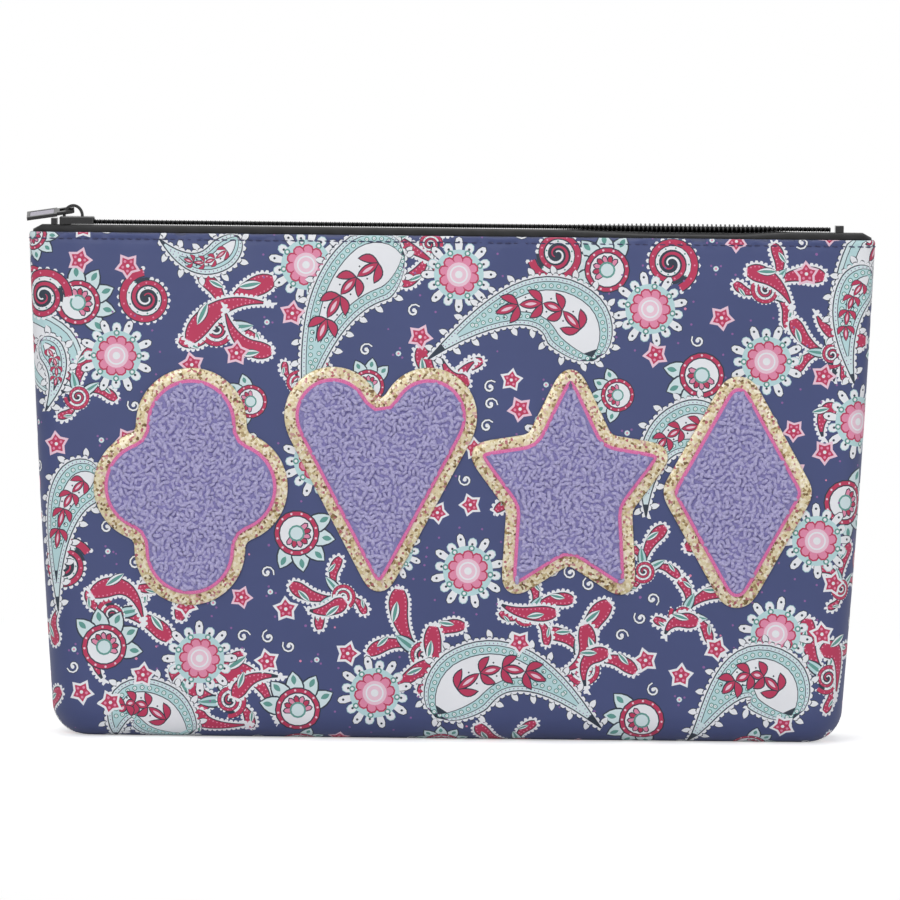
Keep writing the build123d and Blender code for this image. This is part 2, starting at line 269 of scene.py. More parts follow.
def chenille_yarn(name, low, main, tip):
    """Chenille yarn: soft cut fibre on a core, matt and downy, uneven in shade."""
    texture = {"Detail": 4.0, "Roughness": 0.7}
    down = {"Roughness": 0.9, "Sheen_Weight": 0.3, "Sheen_Roughness": 0.5}
    return noisy(name, 0.8, texture, [(0.28, low), (0.5, main), (0.72, tip)], 0.9, 0.5, **down)


def coil_finish():
    """Monofilament nylon coil: glossy black, with a painted highlight in pale grey at each
    turn's outer end, taken from the colour layer tone."""
    material, tree, shader = finish_of("coil_nylon", Roughness=0.3)
    tone = node(tree, "ShaderNodeVertexColor", {"layer_name": "tone"})
    tree.links.new(tone.outputs["Color"], shader.inputs["Base Color"])
    own = node(tree, "ShaderNodeTexCoord").outputs["Object"]
    grain = node(tree, "ShaderNodeTexNoise", {"Scale": 1 / (0.5 * MM)}, {"Vector": own})
    surfaced(tree, shader, grain.outputs["Fac"], 0.2, 0.05)
    return material


canvas = printed_canvas()
lining_cloth = woven("lining_taffeta", "#101013", "#1d1d22", 0.7, 0.5)
webbing = zip_webbing()
seam_thread = woven("seam_thread", "#23264a", "#3a3e6c", 0.7, 0.4)
black_enamel = enamelled("black_enamel", "#08080a", "#2c2b2e", 0.25)
worn_enamel = enamelled("worn_enamel", "#0b0b0d", "#3a383c", 0.3)
# The pull's recessed face: pale grey as a painted reflection of the light, with paler noise patches.
reflection_painted_face = enamelled("reflection_painted_face", "#a9a4b4", "#d2cddb", 0.45)
glitter = glitter_cloth()
felt = woven("pink_felt", "#e0509c", "#f59ac8", 0.95, 0.35, 0.8)
chenille = chenille_yarn("chenille_yarn", "#9b94c6", "#bfb9e6", "#dad5f6")
coil_nylon = coil_finish()
# The bed under the loops is a darker purple than the yarn: painted shade in the gaps between the loops.
chenille_shaded_ground = chenille_yarn("chenille_shaded_ground", "#7b75ad", "#948ec6", "#a49ed2")

# ---------------------------------------------------------------- the paisley print
# The print is drawn flat, in millimetres across and up the panel, as filled outlines in the
# order that they are laid down. A point is a complex number.

NAVY = "#3f4a7a"
DEEP = "#1d2c3e"
AQUA = "#bfe0e4"
PALE_AQUA = "#d9ecf0"
WHITE = "#f3f5fa"
CRIMSON = "#c0305a"
ROSE = "#e88fb0"
BLUSH = "#f3cfe0"
SEA = "#5f9d95"
LILAC = "#8f5f9f"
INKS = [NAVY, DEEP, AQUA, PALE_AQUA, WHITE, CRIMSON, ROSE, BLUSH, SEA, LILAC]


def circle(centre, radius, sides=10):
    return [centre + cmath.rect(radius, 2 * math.pi * number / sides) for number in range(sides)]


def leaf(start, end, width, bend=0.0, sides=6):
    """A leaf with pointed ends. bend moves its middle to one side."""
    length = end - start
    normal = length * 1j / abs(length)
    left, right = [start], [end]
    for number in range(1, sides):
        share = number / sides
        middle = start + length * share + normal * bend * 4 * share * (1 - share)
        half = width / 2 * math.sin(math.pi * share) ** 0.8
        left.append(middle + normal * half)
        right.insert(1, middle - normal * half)
    return left + right


def petal(centre, turn, inner, outer, width, sides=10):
    """A rounded petal that points away from centre."""
    middle = centre + cmath.rect((inner + outer) / 2, turn)
    long_half, wide_half = (outer - inner) / 2, width / 2
    points = []
    for number in range(sides):
        angle = 2 * math.pi * number / sides
        fuller = 1 + 0.3 * math.cos(angle)
        spot = complex(long_half * math.cos(angle), wide_half * fuller * math.sin(angle))
        points.append(middle + spot * cmath.rect(1, turn))
    return points


def comma(head, bend, tail, half, inset, steps=22):
    """A comma or teardrop round a bent line, full at its head and fine at its tail."""
    left, right = [], []
    for number in range(steps + 1):
        share = (number / steps) ** 1.3
        middle = (1 - share) ** 2 * head + 2 * share * (1 - share) * bend + share**2 * tail
        slope = 2 * (1 - share) * (bend - head) + 2 * share * (tail - bend)
        fullness = min(1.0, share / 0.22)
        width = half * math.sqrt(1 - (1 - fullness) ** 2) * (1 - max(0.0, (share - 0.22) / 0.78) ** 1.25)
        width -= inset
        if width > 0.05:
            normal = slope * 1j / abs(slope)
            left.append(middle + normal * width)
            right.insert(0, middle - normal * width)
    return left + right


def anticlockwise(points):
    """The outline, turned round where it runs clockwise."""
    area = sum((a.conjugate() * b).imag for a, b in zip(points, points[1:] + points[:1]))
    return points if area > 0 else points[::-1]


def along_outline(points, step):
    """Points spaced evenly round an outline, each with the direction of its side."""
    found, carried = [], 0.0
    for start, end in zip(points, points[1:] + points[:1]):
        length = abs(end - start)
        while carried < length:
            side = (end - start) / max(length, 1e-6)
            found.append((start + (end - start) * carried / max(length, 1e-6), side))
            carried += step
        carried -= length
    return found


def scalloped(points, step, depth):
    """The outline with a row of round scallops standing out from it."""
    edge = []
    for spot, side in along_outline(points, step):
        out = -1j * side * depth
        edge += [spot, spot + side * step * 0.25 + out * 0.85, spot + side * step * 0.7 + out * 0.9]
    return edge


def lotus(centre, size, turn):
    """A bud in a fan of pale leaves, edged with crimson and pink dashes."""
    shapes = []
    for number in range(-2, 3):
        angle = turn + number * 0.62
        tip = centre + cmath.rect(size * 1.25, angle)
        root = centre + cmath.rect(size * 0.2, angle)
        vein = centre + cmath.rect(size * 0.8, angle)
        shapes += [
            (leaf(root, tip, size * 0.62), DEEP),
            (leaf(root, tip - cmath.rect(0.5, angle), size * 0.52), PALE_AQUA),
            (leaf(vein, tip - cmath.rect(1.6, angle), size * 0.16), SEA),
        ]
    for share, ink in ((0.72, DEEP), (0.68, CRIMSON), (0.56, DEEP), (0.52, WHITE)):
        shapes.append((circle(centre, size * share, 18), ink))
    for number in range(12):
        angle = turn + number * math.pi / 6
        shapes.append((circle(centre + cmath.rect(size * 0.62, angle), size * 0.04, 5), BLUSH))
    for number in range(-3, 4):
        angle = turn + number * 0.5
        shapes += [
            (petal(centre, angle, 0, size * 0.48, size * 0.2, 8), DEEP),
            (petal(centre, angle, 0.3, size * 0.44, size * 0.14, 8), CRIMSON if number % 2 == 0 else ROSE),
        ]
    shapes += [(circle(centre, size * 0.26, 12), SEA), (circle(centre, size * 0.2, 12), PALE_AQUA)]
    return shapes


def rosette(centre, size, turn):
    """A round flower: black-dotted outer petals, an aqua ring of small circles and a pink heart."""
    shapes = []
    for number in range(16):
        angle = turn + number * math.pi / 8
        outer = size * (1.0 if number % 2 else 0.86)
        shapes += [
            (petal(centre, angle, size * 0.5, outer + 0.3, size * 0.24), DEEP if number % 2 else AQUA),
            (petal(centre, angle, size * 0.5, outer, size * 0.2), WHITE),
            (circle(centre + cmath.rect(outer - size * 0.15, angle), size * 0.035, 6), DEEP),
        ]
    shapes += [(circle(centre, size * 0.66, 24), AQUA)]
    for number in range(8):
        spot = centre + cmath.rect(size * 0.6, turn + number * math.pi / 4)
        shapes += [(circle(spot, size * 0.085, 8), SEA), (circle(spot, size * 0.045, 6), WHITE)]
    for number in range(10):
        angle = turn + number * math.pi / 5
        shapes += [
            (petal(centre, angle, size * 0.15, size * 0.55, size * 0.3), CRIMSON),
            (petal(centre, angle, size * 0.15, size * 0.51, size * 0.23), ROSE),
        ]
    for share, ink in ((0.36, ROSE), (0.32, BLUSH), (0.24, WHITE), (0.2, BLUSH), (0.1, WHITE)):
        shapes.append((circle(centre, size * share, 20), ink))
    for number in range(12):
        angle = turn + number * math.pi / 6 + 0.1
        shapes.append((circle(centre + cmath.rect(size * 1.16, angle), 0.45, 5), LILAC))
    return shapes


def star_flower(centre, size, turn, edge=WHITE):
    """A small crimson flower with five pointed petals and pale spots."""
    shapes = []
    for grown, ink in ((1.0, edge), (0.72, CRIMSON)):
        points = []
        for number in range(10):
            radius = size * grown * (1 if number % 2 == 0 else 0.62)
            points.append(centre + cmath.rect(radius, turn + number * math.pi / 5))
        shapes.append((points, ink))
    for number in range(5):
        spot = centre + cmath.rect(size * 0.38, turn + number * math.pi / 2.5)
        shapes.append((circle(spot, size * 0.11, 6), ROSE))
    shapes.append((circle(centre, size * 0.14, 6), WHITE))
    return shapes


def stroke(line, start_width, end_width):
    """A brush stroke along a line, from one width to another."""
    left, right = [], []
    last = len(line) - 1
    for number, spot in enumerate(line):
        run = line[min(number + 1, last)] - line[max(number - 1, 0)]
        normal = run * 1j / abs(run) * mix(start_width, end_width, number / last) / 2
        left.append(spot + normal)
        right.insert(0, spot - normal)
    return left + right


def curl_line(centre, size, turn, turns, count):
    """Points down a spiral that closes in on centre."""
    line = []
    for number in range(count):
        share = number / (count - 1)
        line.append(centre + cmath.rect(size * (1 - 0.88 * share), turn + 2 * math.pi * turns * share))
    return line


def curl(centre, size, turn):
    """A small white hook with a dark edge."""
    line = curl_line(centre, size, turn, 1.1, 12)
    strokes = [(stroke(line, 1.0, 1.5), DEEP), (stroke(line, 0.5, 0.9), WHITE)]
    return strokes + [(circle(line[-1], 0.75, 7), WHITE)]


def spiral(centre, size, turn):
    """A crimson curl with a dotted, scalloped edge, wound round a pale one."""
    shapes = [(circle(centre, size * 0.8, 20), DEEP)]
    line = curl_line(centre, size, turn, 2.1, 48)
    for spot in line[:22]:
        outward = (spot - centre) / abs(spot - centre)
        shapes.append((circle(spot + outward * size * 0.15, size * 0.09, 6), WHITE))
    shapes += [(stroke(line, size * 0.36, 0.6), DEEP), (stroke(line, size * 0.27, 0.3), CRIMSON)]
    for spot in line[:26:2]:
        shapes.append((circle(spot, size * 0.04, 5), ROSE))
    inner = curl_line(centre, size * 0.74, turn + 0.5, 1.7, 34)
    shapes += [(stroke(inner, size * 0.16, 0.5), WHITE)]
    for spot in inner[:20:2]:
        shapes.append((circle(spot, size * 0.04, 5), SEA))
    return shapes


def scroll(head, bend, tail, half):
    """A crimson leaf that curls, with a scalloped white edge, pink dots and a green eye."""
    edge = anticlockwise(comma(head, bend, tail, half, -0.4, 14))
    shapes = [(scalloped(edge, 1.7, 0.95), WHITE)]
    for inset, ink in ((-0.4, WHITE), (0.0, DEEP), (0.4, CRIMSON)):
        shapes.append((comma(head, bend, tail, half, inset, 14), ink))
    for spot, _ in along_outline(comma(head, bend, tail, half, 1.0, 14), 1.5):
        shapes.append((circle(spot, 0.3, 5), ROSE))
    eye_start = head + (bend - head) * 0.35
    eye_end = eye_start + (bend - head) / abs(bend - head) * half * 2.2
    for width, ink in ((0.95, DEEP), (0.75, WHITE), (0.35, SEA)):
        shapes.append((leaf(eye_start, eye_end, half * width), ink))
    return shapes


def spray(root, size, turn):
    """Curling crimson leaves that spring from one root, with a pale leaf and a curl between them."""
    shapes = []
    # each leaf's angle from the spray's own, its length, its half width and how far it bends
    leaves = ((-1.3, 0.95, 0.13, 0.45), (1.25, 1.0, 0.13, -0.45), (2.7, 0.7, 0.11, 0.4), (0.0, 1.3, 0.18, 0.28))
    for angle, length, half, bend in leaves:
        head = root + cmath.rect(size * length, turn + angle)
        middle = (root + head) / 2 + (head - root) * 1j * bend
        shapes += scroll(head, middle, root, half * size)
    for angle, ink in ((0.6, AQUA), (-0.6, PALE_AQUA)):
        tip = root + cmath.rect(size * 0.62, turn + angle)
        for share, filling in ((0.26, DEEP), (0.19, ink), (0.07, SEA)):
            shapes.append((leaf(root, tip, size * share), filling))
    return shapes + spiral(root, size * 0.3, turn + 2)


def paisley(head, bend, tail, half):
    """A large teardrop: a lacy edge, a dotted band, a band of rings and a sprig in a white field."""
    shapes = []
    edge = anticlockwise(comma(head, bend, tail, half, -0.5))
    for number, (spot, side) in enumerate(along_outline(edge, 7.5)):
        tip = spot - side * 1j * 3.6 + side * 1.5
        shapes += [(leaf(spot, tip, 2.8), DEEP), (leaf(spot, tip, 2.1), WHITE)]
    shapes += [(scalloped(edge, 2.3, 1.35), DEEP), (scalloped(edge, 2.3, 0.95), WHITE)]
    for inset, ink in ((-0.3, DEEP), (0.15, PALE_AQUA), (1.5, DEEP), (1.8, AQUA)):
        shapes.append((comma(head, bend, tail, half, inset), ink))
    for spot, _ in along_outline(comma(head, bend, tail, half, 0.85), 1.5):
        shapes.append((circle(spot, 0.26, 4), LILAC))
    large = half > 7
    ring = 1.3 if large else 0.4
    if large:
        for spot, _ in along_outline(comma(head, bend, tail, half, 1.9 + ring), 2.7):
            for radius, sides, ink in ((0.95, 8, SEA), (0.6, 7, WHITE), (0.22, 4, SEA)):
                shapes.append((circle(spot, radius, sides), ink))
    field = 2.0 + 2 * ring
    for inset, ink in ((field, DEEP), (field + 0.35, WHITE)):
        if half > inset + 1:
            shapes.append((comma(head, bend, tail, half, inset), ink))
    shares = (0.16, 0.32, 0.46, 0.6, 0.72)
    stem = [(1 - t) ** 2 * head + 2 * t * (1 - t) * bend + t * t * tail for t in shares]
    for start, end in zip(stem, stem[1:]):
        run = end - start
        swing = run * 1j / abs(run)
        for sign in (-1, 1):
            tip = start + run * 0.6 + sign * swing * half * 0.42
            trim = (tip - start) * 0.08
            shapes += [
                (leaf(start, tip, half * 0.27, 0.8 * sign), DEEP),
                (leaf(start + trim, tip - trim, half * 0.2, 0.8 * sign), CRIMSON),
                (circle(start + run * 0.7 + sign * swing * half * 0.2, 0.4, 4), DEEP),
            ]
        shapes += [
            (leaf(start, end, half * 0.3), DEEP),
            (leaf(start + run * 0.05, end - run * 0.05, half * 0.22), CRIMSON),
            (leaf(start + run * 0.25, start + run * 0.75, half * 0.09), BLUSH),
        ]
    return shapes


# Each motif's place across and above the base, in millimetres. Paisleys and scrolls give the
# head, bend and tail, then the half width, and sprays add their size and turn to the place.
ROSETTES = [
    (-120.3, 136.9), (-52.5, 170.2), (2.5, 167.3), (71.4, 155.7), (113.4, 137.3), (147.4, 115.9), (-89.1, 29.0),
    (-26.1, 17.4), (-47.1, 100.3), (117.7, 39.8), (132.2, 73.2), (6.9, 61.6), (39.5, 108.7),
]
SPIRALS = [(-147.1, 157.9), (-109.7, 157.6), (37.7, 174.9), (78.6, 172.0), (-138.0, 61.6)]
LOTUSES = [
    (-134.4, 155.7), (55.8, 169.5), (90.2, 132.2), (142.7, 86.9), (-53.6, 10.9), (69.9, 8.3), (-54.7, 74.3),
    (-123.5, 32.6),
]
STARS = [
    (-134.0, 171.0), (-116.6, 169.1), (-93.1, 134.0), (-57.2, 152.8), (97.1, 152.8), (73.5, 139.4), (127.5, 168.8),
    (134.0, 132.2), (-94.2, 48.2), (-64.8, 28.3), (-109.4, 22.8), (-131.5, 16.3), (-121.0, 12.7), (-58.3, 47.1),
    (-35.9, 31.5), (25.7, 36.2), (71.0, 30.1), (83.7, 24.6), (96.3, 34.4), (120.6, 6.5), (134.4, 39.8), (138.4, 58.0),
    (134.7, 105.0), (123.5, 97.8), (-77.1, 138.4), (-11.2, 144.9), (25.0, 119.5), (-141.6, 105.0),
]
PAISLEYS = [
    ((-77.1, 180.4), (-89.1, 161.2), (-105.4, 178.9), 5.4), ((-17.0, 173.9), (-48.2, 169.5), (-52.5, 116.6), 13.0),
    ((51.1, 136.9), (39.5, 178.2), (-8.3, 136.9), 12.3), ((152.5, 169.5), (135.8, 159.4), (145.2, 129.7), 7.2),
    ((98.9, 113.0), (68.5, 120.3), (70.6, 81.5), 9.4), ((-148.1, 142.0), (-136.5, 134.0), (-146.0, 116.6), 4.7),
    ((-125.7, 94.2), (-145.2, 90.6), (-140.9, 44.9), 8.7), ((-92.4, -1.8), (-120.6, 29.0), (-119.2, -4.3), 10.9),
    ((-4.0, 8.7), (17.7, 47.1), (55.4, 5.1), 12.3), ((124.2, 9.4), (109.0, 47.1), (86.6, -2.9), 12.3),
]
SCROLLS = [
    ((-94.5, 141.3), (-85.5, 161.2), (-63.7, 155.7), 4.0), ((-63.7, 139.4), (-78.2, 137.6), (-81.9, 155.7), 3.3),
    ((-85.5, 21.0), (-68.5, 32.6), (-60.5, 5.4), 4.0), ((-76.4, 14.5), (-72.8, 25.4), (-58.3, 22.5), 2.9),
    ((-90.9, 10.9), (-89.1, 1.8), (-69.2, 5.4), 3.3), ((-128.9, 50.7), (-112.6, 61.6), (-109.0, 39.8), 3.6),
    ((-119.9, 32.6), (-130.8, 29.0), (-122.8, 19.6), 2.9), ((-5.1, 42.7), (-7.6, 25.4), (4.0, 22.5), 3.3),
    ((-4.0, 29.0), (-18.5, 22.5), (-19.9, 14.5), 2.9), ((48.5, 43.5), (54.0, 29.0), (39.5, 25.4), 3.3),
    ((58.3, 32.6), (44.9, 32.6), (50.3, 18.1), 2.9), ((133.7, 32.6), (145.2, 39.8), (140.9, 14.5), 3.6),
    ((105.4, 169.5), (117.7, 169.5), (122.8, 155.7), 3.3), ((-5.4, 112.3), (1.4, 134.0), (9.8, 136.9), 3.3),
    ((6.9, 129.7), (-0.4, 126.8), (-4.0, 139.4), 2.9), ((-25.7, 178.2), (-18.5, 180.4), (-4.0, 169.5), 3.3),
    ((151.0, 144.9), (133.7, 144.9), (130.8, 155.7), 3.3), ((39.5, 47.1), (25.0, 44.9), (17.7, 50.7), 2.9),
    ((-36.6, 50.7), (-43.8, 44.9), (-51.1, 47.1), 2.9), ((90.2, 43.5), (79.3, 47.1), (77.5, 38.0), 2.9),
    ((-141.6, 32.6), (-147.1, 39.8), (-139.4, 47.1), 2.9), ((139.1, 121.3), (130.8, 119.5), (134.4, 108.7), 2.9),
]
SPRAYS = [
    (-84.0, 147.0, 21, 0.7), (-78.0, 14.0, 19, 2.6), (-121.0, 44.0, 18, -0.4), (-9.0, 31.0, 20, 1.9),
    (49.0, 27.0, 20, 1.2), (137.0, 24.0, 18, 1.9), (113.0, 163.0, 17, 0.2), (2.0, 124.0, 17, 2.2),
    (137.0, 140.0, 15, 2.4), (28.0, 46.0, 14, 0.3), (-38.0, 52.0, 15, 2.9), (84.0, 46.0, 15, 0.5),
    (-134.0, 122.0, 15, 1.2), (-8.0, 178.0, 14, -2.2), (-100.0, 60.0, 14, -1.4), (70.0, 62.0, 14, 1.1),
    (-55.0, 128.0, 13, -0.6), (30.0, 84.0, 14, 2.0), (142.0, 56.0, 13, 1.3),
]

REPEAT = complex(190.2, 13.8)  # the print comes round again after this far across and up
PRINT_HALF = 152               # half the width over which the motifs above are placed
CELL = 2.4                     # side of the squares in which bare places are looked for
GAP_TRIES = 1600


def filled_cells(shapes):
    """The small squares of the cloth that any outline touches."""
    cells = set()
    for outline, _ in shapes:
        for spot in outline:
            cells.add((int(spot.real // CELL), int(spot.imag // CELL)))
        middle = sum(outline) / len(outline)
        cells.add((int(middle.real // CELL), int(middle.imag // CELL)))
    return cells


def gap_motifs(shapes, draws):
    """Small flowers, curls and leaves in the bare places, the larger ones first."""
    cells = filled_cells(shapes)
    added = []
    kinds = ((6, "spray"), (5, "rosette"), (4, "lotus"), (3, "flower"), (2, "curl"), (2, "bud"))
    for reach, kind in kinds:
        for _ in range(GAP_TRIES):
            spot = complex(draws.uniform(-PRINT_HALF, PRINT_HALF), draws.uniform(-6, 184))
            column, row = int(spot.real // CELL), int(spot.imag // CELL)
            span = range(1 - reach, reach)
            around = [(column + i, row + j) for i in span for j in span]
            if any(cell in cells for cell in around):
                continue
            turn = draws.uniform(0, 2 * math.pi)
            if kind == "spray":
                added += spray(spot, 15.5, turn)
            elif kind == "rosette":
                added += rosette(spot, 10.5, turn)
            elif kind == "lotus":
                added += lotus(spot, 8.5, turn)
            elif kind == "flower":
                added += star_flower(spot, 4.4, turn, WHITE if draws.random() < 0.5 else BLUSH)
            elif kind == "curl":
                added += curl(spot, 2.6, turn)
            else:
                added += [(circle(spot, 1.0, 8), PALE_AQUA), (circle(spot, 0.45, 6), ROSE)]
                added += [(circle(spot + cmath.rect(2.0, turn + n * 2.1), 0.45, 5), LILAC) for n in range(3)]
            cells.update(around)
    return added


def print_shapes():
    """The whole print as (outline, ink) pairs, in the order they are laid down."""
    draws = random.Random(7)
    shapes = []
    for number in range(90):
        spot = complex(draws.uniform(-150, 150), draws.uniform(2, 178))
        shapes.append((circle(spot, draws.uniform(0.35, 0.6), 5), LILAC if number % 3 else ROSE))
    for across, height, size, turn in SPRAYS:
        shapes += spray(complex(across, height), size, turn)
    for motif in SCROLLS:
        shapes += scroll(*[complex(*point) for point in motif[:3]], motif[3])
    for number, spot in enumerate(LOTUSES):
        shapes += lotus(complex(*spot), 11.5, 0.4 + 1.9 * number)
    for number, spot in enumerate(SPIRALS):
        shapes += spiral(complex(*spot), 9.4, 1.7 * number)
    for number, spot in enumerate(ROSETTES):
        shapes += rosette(complex(*spot), 13.6, 0.2 * number)
    for motif in PAISLEYS:
        shapes += paisley(*[complex(*point) for point in motif[:3]], motif[3])
    for number, spot in enumerate(STARS):
        shapes += star_flower(complex(*spot), 4.9, 0.9 * number, WHITE if spot[1] < 60 else BLUSH)
    return shapes + gap_motifs(shapes, draws)


def laid_on(shapes, shift, half_reach):
    """The print moved by shift, with its repeats at both sides, as far as the panel reaches."""
    laid = []
    for copy in (-2, -1, 1, 2, 0):
        for points, ink in shapes:
            spots = [point + shift + copy * REPEAT for point in points]
            low, high = min(p.real for p in spots), max(p.real for p in spots)
            middle = (low + high) / 2 - shift.real
            if high < -half_reach or low > half_reach:
                continue
            if copy and abs(middle) < PRINT_HALF:
                continue
            laid.append(([p + WALL_SHIFT * 1j for p in spots], ink))
    return laid


# ---------------------------------------------------------------- cloth shells

def steps(start, end, size):
    count = max(1, round((end - start) / size))
    return [start + (end - start) * number / count for number in range(count + 1)]


RIM_CLEAR = 0.3         # plain ground left between the print and the cloth's rim, lost in the seam
LINE_SLACK = 0.012      # a point this near a straight run between its neighbours is left out
LINE_CLEAR = 1.5        # squares of this side that hold a point of a line get no grid point
INK_CELL = 3            # side of the squares in which the faces under an outline are looked for
FLAT_HALF = 118         # wide lanes of the grid reach this far, narrow ones go on round the corner
LANE, CORNER_LANE = 4.5, 2.2
FACE_UV = (0.0, 0.79)   # the part of the bake layout's height for the outer face, and the inner one
INNER_UV = (0.82, 0.99)


def grid_rows(top):
    """The rows of the cloth's grid, closer where it turns and along the stitches."""
    wall_top = STITCH_LEVEL - 8 + WALL_SHIFT
    rows = steps(0, BASE_REACH, 4) + steps(BASE_REACH, TURN_END, 2)[1:] + steps(TURN_END, wall_top, 5)[1:]
    if top > HEM_START:
        rows += [STITCH_LEVEL + WALL_SHIFT + shift for shift in (-5.5, -3.5, -2, -1, -0.5, 0, 0.5)]
        rows += steps(HEM_START, CLOTH_END, 0.4)
    else:
        rows += steps(rows[-1], top, 4)[1:]
    return rows


def shell(name, side, out, thickness, top, shapes=(), fine=1.0):
    """Half the bag as one closed sheet: a face that may carry the print, and a plain inner face."""
    rows = grid_rows(top)
    girths = [half_girth(row) for row in rows]
    widest = max(girths)
    lane = steps(0, FLAT_HALF, LANE * fine) + steps(FLAT_HALF, widest, CORNER_LANE * fine)[1:]
    loop = [complex(girth, row) for girth, row in zip(girths, rows)]
    loop += [complex(x, top) for x in reversed(lane) if x < girths[-1] - 1]
    loop += [complex(-x, top) for x in lane if 0 < x < girths[-1] - 1]
    loop += [complex(-girth, row) for girth, row in reversed(list(zip(girths, rows)))]
    loop += [complex(-x, 0) for x in reversed(lane) if 0 < x < girths[0] - 1]
    loop += [complex(x, 0) for x in lane if x < girths[0] - 1]
    inside = []
    for row, girth in zip(rows[1:-1], girths[1:-1]):
        for x in lane:
            if x < girth - 1:
                inside += [complex(x, row), complex(-x, row)] if x else [complex(0, row)]

    def flat_mesh(points, outlines):
        """Triangles over points, with the outlines' lines kept as edges."""
        spots, lines = [], []
        for outline in outlines:
            start = len(spots)
            spots += outline
            lines += [(start + n, start + (n + 1) % len(outline)) for n in range(len(outline))]
        spots += points
        made = delaunay_2d_cdt([Vector((p.real, p.imag)) for p in spots], lines, [], 0, 1e-4, False)
        corners = [(v.x, v.y) for v in made[0]]
        kept = []
        for a, b, c in made[2]:
            x = (corners[a][0] + corners[b][0] + corners[c][0]) / 3
            y = (corners[a][1] + corners[b][1] + corners[c][1]) / 3
            if 0 < y < top and abs(x) < girth_at(y) - 0.001:
                kept.append((a, b, c))
        return corners, kept

    def girth_at(row):
        for low, high, first, second in zip(rows, rows[1:], girths, girths[1:]):
            if row <= high:
                return mix(first, second, (row - low) / (high - low))
        return girths[-1]

    def held_in(spot):
        """The spot, or the nearest one that is clear of the cloth's rim."""
        y = min(max(spot.imag, RIM_CLEAR), top - RIM_CLEAR)
        reach = girth_at(y) - RIM_CLEAR
        return complex(min(max(spot.real, -reach), reach), y)

    held = [([held_in(spot) for spot in outline], outline, ink) for outline, ink in shapes]
    shapes = [(kept, ink) for kept, outline, ink in held if any(a == b for a, b in zip(kept, outline))]
    corners, faces = flat_mesh(inside, [loop] + [outline for outline, _ in shapes])
    inks = ink_of(corners, faces, shapes)
    if shapes:
        corners, faces, inks = thinned(corners, faces, inks, inside)
    shades = [linear(ink) for ink in INKS]
    inks = [shades[code] for code in inks]
    used = dict.fromkeys(edge for face in faces for edge in face_edges(face))
    rim = [(a, b) for a, b in used if (b, a) not in used]
    follows = dict(rim)
    ring, at = [], rim[0][0]
    for _ in rim:
        ring.append(complex(*corners[at]))
        at = follows[at]
    inner_corners, inner_faces = flat_mesh(inside[::2], [ring])

    sheet = bmesh.new()
    flip = side > 0
    cloth_uv = sheet.loops.layers.uv.new("Cloth")
    bake_uv = sheet.loops.layers.uv.new("OFBake")
    ink_layer = sheet.loops.layers.float_color.new("print")
    outer = [sheet.verts.new(place(x, y, out, side)) for x, y in corners]
    inner = [sheet.verts.new(place(x, y, out - thickness, side)) for x, y in inner_corners]

    def add_face(verts, spots, ink, low, high):
        if len(set(verts)) < 3:
            return
        try:
            face = sheet.faces.new(reversed(verts) if flip else verts)
        except ValueError:
            return
        spots = list(reversed(spots)) if flip else spots
        face.smooth = True
        for corner, (x, y) in zip(face.loops, spots):
            corner[cloth_uv].uv = (x * MM, y * MM)
            corner[bake_uv].uv = (0.5 + 0.49 * x / widest, low + (high - low) * y / top)
            corner[ink_layer] = ink

    plain = linear(PALE_AQUA)
    for face, ink in zip(faces, inks):
        add_face([outer[i] for i in face], [corners[i] for i in face], ink, *FACE_UV)
    for face in inner_faces:
        face = face[::-1]
        add_face([inner[i] for i in face], [inner_corners[i] for i in face], plain, *INNER_UV)
    twin = {(round(x, 3), round(y, 3)): vert for (x, y), vert in zip(inner_corners, inner)}
    for a, b in rim:
        pair = [twin.get((round(corners[i][0], 3), round(corners[i][1], 3))) for i in (a, b)]
        if None not in pair:
            spots = [corners[b], corners[a], corners[a], corners[b]]
            add_face([outer[b], outer[a], *pair], spots, inks[0], *FACE_UV)
    loose = [vert for vert in sheet.verts if not vert.link_faces]
    bmesh.ops.delete(sheet, geom=loose, context="VERTS")
    bmesh.ops.holes_fill(sheet, edges=[edge for edge in sheet.edges if edge.is_boundary], sides=0)
    return piece(name, sheet)


def face_edges(face):
    """A triangle's sides, each from one corner to the next."""
    a, b, c = face
    return ((a, b), (b, c), (c, a))


def straightened(left, corners):
    """The lines between inks, without the points that lie on a straight run.

    left holds the ink to the left of each directed edge."""
    beside = {}
    fixed = set()
    for a, b in left:
        beside.setdefault(a, set()).add(b)
        beside.setdefault(b, set()).add(a)
        if left[(a, b)] is None or left.get((b, a)) is None:
            fixed.update((a, b))
    for middle in list(beside):
        if middle in fixed or len(beside[middle]) != 2:
            continue
        a, b = beside[middle]
        if b in beside[a]:
            continue
        chord = complex(*corners[b]) - complex(*corners[a])
        arm = complex(*corners[middle]) - complex(*corners[a])
        if abs((chord.conjugate() * arm).imag) > LINE_SLACK * abs(chord):
            continue
        left[(a, b)], left[(b, a)] = left[(a, middle)], left[(b, middle)]
        for end, other in ((a, b), (b, a)):
            del left[(end, middle)], left[(middle, end)]
            beside[end].discard(middle)
            beside[end].add(other)
        del beside[middle]
    return left


